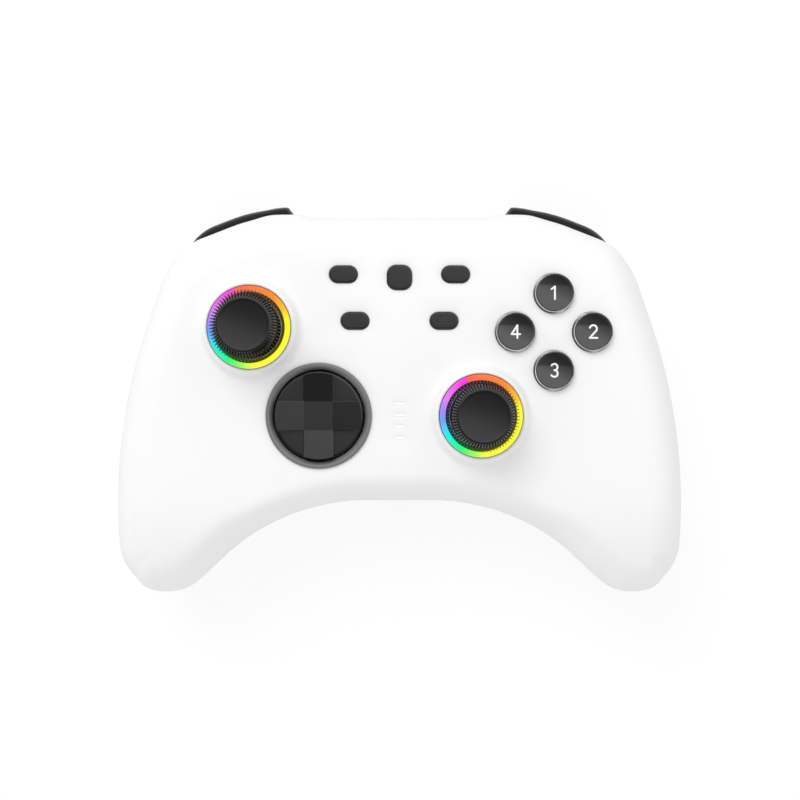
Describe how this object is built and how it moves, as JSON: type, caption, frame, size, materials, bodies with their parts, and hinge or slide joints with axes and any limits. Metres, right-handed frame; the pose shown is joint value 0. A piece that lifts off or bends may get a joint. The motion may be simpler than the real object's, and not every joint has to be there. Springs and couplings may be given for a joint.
{
  "type": "gamepad controller",
  "caption": "Two-handed game controller with offset thumbsticks in light rings, direction pad, face buttons, bumpers, triggers and drooping grips.",
  "frame": {"origin": "on the belly's flat face, midway between the grips and level with the right stick's front", "axes": "+X to the right as held, +Y towards the bumpers, +Z out of the face with the sticks"},
  "size_m": [0.151, 0.1031, 0.0605],
  "materials": {
    "shell_white": "satin soft-touch",
    "bumper_black": "piano gloss",
    "trigger_black": "gloss",
    "stick_rubber": "moulded rubber",
    "light_ring": "light diffusing",
    "dpad_black": "satin",
    "bezel_grey": "satin",
    "button_chrome": "polished",
    "lens_smoke": "polished",
    "button_grey": "matte",
    "contact_rubber": "silicone",
    "board_green": "solder mask",
    "battery_wrap": "shrink film",
    "port_steel": "plated",
    "screw_steel": "zinc",
    "gimbal_steel": "plated",
    "gimbal_plastic": "matte",
    "motor_steel": "zinc",
    "weight_brass": "turned",
    "light_pipe": "frosted"
  },
  "bodies": {
    "housing": {"front_shell": "shell_white", "rear_shell": "shell_white", "main_board": "board_green", "battery_pack": "battery_wrap", "usb_c_port": "port_steel", "led_light_pipe": "light_pipe", "case_screws": "screw_steel", "board_screws": "screw_steel", "dpad_bezel": "bezel_grey", "dpad_post": "gimbal_plastic", "dpad_contact_sheet": "contact_rubber", "face_contact_sheet": "contact_rubber", "function_contact_sheet": "contact_rubber", "left_stick_frame": "gimbal_steel", "left_stick_sensors": "gimbal_plastic", "left_light_ring": "light_ring", "right_stick_frame": "gimbal_steel", "right_stick_sensors": "gimbal_plastic", "right_light_ring": "light_ring", "left_bumper_switch": "gimbal_plastic", "left_trigger_pin": "gimbal_steel", "left_trigger_spring": "gimbal_steel", "left_rumble_motor": "motor_steel", "right_bumper_switch": "gimbal_plastic", "right_trigger_pin": "gimbal_steel", "right_trigger_spring": "gimbal_steel", "right_rumble_motor": "motor_steel"},
    "left_stick_lower_yoke": {"left_stick_lower_yoke": "gimbal_plastic"},
    "left_stick_upper_yoke": {"left_stick_upper_yoke": "gimbal_steel"},
    "left_stick_pivot": {"left_stick_pivot_block": "gimbal_plastic"},
    "left_stick": {"left_stick_cap": "stick_rubber", "left_stick_post": "gimbal_steel"},
    "right_stick_lower_yoke": {"right_stick_lower_yoke": "gimbal_plastic"},
    "right_stick_upper_yoke": {"right_stick_upper_yoke": "gimbal_steel"},
    "right_stick_pivot": {"right_stick_pivot_block": "gimbal_plastic"},
    "right_stick": {"right_stick_cap": "stick_rubber", "right_stick_post": "gimbal_steel"},
    "dpad_rocker": {"dpad_rocker": "gimbal_plastic"},
    "dpad": {"dpad_cap": "dpad_black"},
    "face_button_top": {"face_button_top": "button_chrome", "face_lens_top": "lens_smoke"},
    "face_button_right": {"face_button_right": "button_chrome", "face_lens_right": "lens_smoke"},
    "face_button_bottom": {"face_button_bottom": "button_chrome", "face_lens_bottom": "lens_smoke"},
    "face_button_left": {"face_button_left": "button_chrome", "face_lens_left": "lens_smoke"},
    "upper_left_button": {"upper_left_button": "button_grey"},
    "upper_right_button": {"upper_right_button": "button_grey"},
    "lower_left_button": {"lower_left_button": "button_grey"},
    "lower_right_button": {"lower_right_button": "button_grey"},
    "home_button": {"home_button": "button_grey"},
    "left_bumper": {"left_bumper": "bumper_black"},
    "left_trigger": {"left_trigger": "trigger_black"},
    "left_rumble_weight": {"left_rumble_weight": "weight_brass"},
    "right_bumper": {"right_bumper": "bumper_black"},
    "right_trigger": {"right_trigger": "trigger_black"},
    "right_rumble_weight": {"right_rumble_weight": "weight_brass"}
  },
  "joints": [
    {"name": "left_stick_tilt_fore_aft", "type": "hinge", "parent": "housing", "child": "left_stick_lower_yoke", "pos_m": [-0.0377, 0.0182, 0.039], "axis": [1, 0, 0], "range_deg": [-17, 17], "stiffness_Nm_per_rad": 0.05},
    {"name": "left_stick_tilt_sideways", "type": "hinge", "parent": "left_stick_lower_yoke", "child": "left_stick_pivot", "pos_m": [-0.0377, 0.0182, 0.039], "axis": [0, 1, 0], "range_deg": [-17, 17], "stiffness_Nm_per_rad": 0.05},
    {"name": "left_stick_press", "type": "slide", "parent": "left_stick_pivot", "child": "left_stick", "axis": [0, 0, -1], "range_m": [0, 0.0005], "stiffness_N_per_m": 1500},
    {"name": "left_stick_bow_swing", "type": "hinge", "parent": "housing", "child": "left_stick_upper_yoke", "pos_m": [-0.0377, 0.0182, 0.039], "axis": [0, 1, 0], "range_deg": [-17, 17]},
    {"name": "right_stick_tilt_fore_aft", "type": "hinge", "parent": "housing", "child": "right_stick_lower_yoke", "pos_m": [0.0205, -0.004, 0.039], "axis": [1, 0, 0], "range_deg": [-17, 17], "stiffness_Nm_per_rad": 0.05},
    {"name": "right_stick_tilt_sideways", "type": "hinge", "parent": "right_stick_lower_yoke", "child": "right_stick_pivot", "pos_m": [0.0205, -0.004, 0.039], "axis": [0, 1, 0], "range_deg": [-17, 17], "stiffness_Nm_per_rad": 0.05},
    {"name": "right_stick_press", "type": "slide", "parent": "right_stick_pivot", "child": "right_stick", "axis": [0, 0, -1], "range_m": [0, 0.0005], "stiffness_N_per_m": 1500},
    {"name": "right_stick_bow_swing", "type": "hinge", "parent": "housing", "child": "right_stick_upper_yoke", "pos_m": [0.0205, -0.004, 0.039], "axis": [0, 1, 0], "range_deg": [-17, 17]},
    {"name": "dpad_tilt_fore_aft", "type": "hinge", "parent": "housing", "child": "dpad_rocker", "pos_m": [-0.0205, -0.004, 0.0434], "axis": [1, 0, 0], "range_deg": [-4, 4], "stiffness_Nm_per_rad": 0.15, "deforming": ["dpad_contact_sheet"]},
    {"name": "dpad_tilt_sideways", "type": "hinge", "parent": "dpad_rocker", "child": "dpad", "pos_m": [-0.0205, -0.004, 0.0434], "axis": [0, 1, 0], "range_deg": [-4, 4], "stiffness_Nm_per_rad": 0.15, "deforming": ["dpad_contact_sheet"]},
    {"name": "face_button_top_press", "type": "slide", "parent": "housing", "child": "face_button_top", "axis": [0, 0, -1], "range_m": [0, 0.0012], "stiffness_N_per_m": 700, "deforming": ["face_contact_sheet"]},
    {"name": "face_button_right_press", "type": "slide", "parent": "housing", "child": "face_button_right", "axis": [0, 0, -1], "range_m": [0, 0.0012], "stiffness_N_per_m": 700, "deforming": ["face_contact_sheet"]},
    {"name": "face_button_bottom_press", "type": "slide", "parent": "housing", "child": "face_button_bottom", "axis": [0, 0, -1], "range_m": [0, 0.0012], "stiffness_N_per_m": 700, "deforming": ["face_contact_sheet"]},
    {"name": "face_button_left_press", "type": "slide", "parent": "housing", "child": "face_button_left", "axis": [0, 0, -1], "range_m": [0, 0.0012], "stiffness_N_per_m": 700, "deforming": ["face_contact_sheet"]},
    {"name": "upper_left_button_press", "type": "slide", "parent": "housing", "child": "upper_left_button", "axis": [0, 0, -1], "range_m": [0, 0.0006], "stiffness_N_per_m": 900, "deforming": ["function_contact_sheet"]},
    {"name": "upper_right_button_press", "type": "slide", "parent": "housing", "child": "upper_right_button", "axis": [0, 0, -1], "range_m": [0, 0.0006], "stiffness_N_per_m": 900, "deforming": ["function_contact_sheet"]},
    {"name": "lower_left_button_press", "type": "slide", "parent": "housing", "child": "lower_left_button", "axis": [0, 0, -1], "range_m": [0, 0.0006], "stiffness_N_per_m": 900, "deforming": ["function_contact_sheet"]},
    {"name": "lower_right_button_press", "type": "slide", "parent": "housing", "child": "lower_right_button", "axis": [0, 0, -1], "range_m": [0, 0.0006], "stiffness_N_per_m": 900, "deforming": ["function_contact_sheet"]},
    {"name": "home_button_press", "type": "slide", "parent": "housing", "child": "home_button", "axis": [0, 0, -1], "range_m": [0, 0.0006], "stiffness_N_per_m": 900, "deforming": ["function_contact_sheet"]},
    {"name": "left_bumper_press", "type": "hinge", "parent": "housing", "child": "left_bumper", "pos_m": [-0.0302, 0.0452, 0.03], "axis": [0, 0, 1], "range_deg": [0, 2], "stiffness_Nm_per_rad": 1},
    {"name": "left_trigger_pull", "type": "hinge", "parent": "housing", "child": "left_trigger", "pos_m": [-0.0398, 0.0344, 0.0176], "axis": [-0.9613, -0.2756, 0], "range_deg": [0, 18], "stiffness_Nm_per_rad": 0.08, "springref_deg": -11.46},
    {"name": "left_rumble_spin", "type": "hinge", "parent": "housing", "child": "left_rumble_weight", "pos_m": [-0.0602, -0.033, 0.019], "axis": [0, 1, 0], "continuous": true},
    {"name": "right_bumper_press", "type": "hinge", "parent": "housing", "child": "right_bumper", "pos_m": [0.0302, 0.0452, 0.03], "axis": [0, 0, -1], "range_deg": [0, 2], "stiffness_Nm_per_rad": 1},
    {"name": "right_trigger_pull", "type": "hinge", "parent": "housing", "child": "right_trigger", "pos_m": [0.0398, 0.0344, 0.0176], "axis": [-0.9613, 0.2756, 0], "range_deg": [0, 18], "stiffness_Nm_per_rad": 0.08, "springref_deg": -11.46},
    {"name": "right_rumble_spin", "type": "hinge", "parent": "housing", "child": "right_rumble_weight", "pos_m": [0.0602, -0.033, 0.019], "axis": [0, 1, 0], "continuous": true}
  ],
  "couplings": [
    {"joint": "left_stick_bow_swing", "follows": "left_stick_tilt_sideways", "ratio": 1},
    {"joint": "right_stick_bow_swing", "follows": "right_stick_tilt_sideways", "ratio": 1}
  ]
}
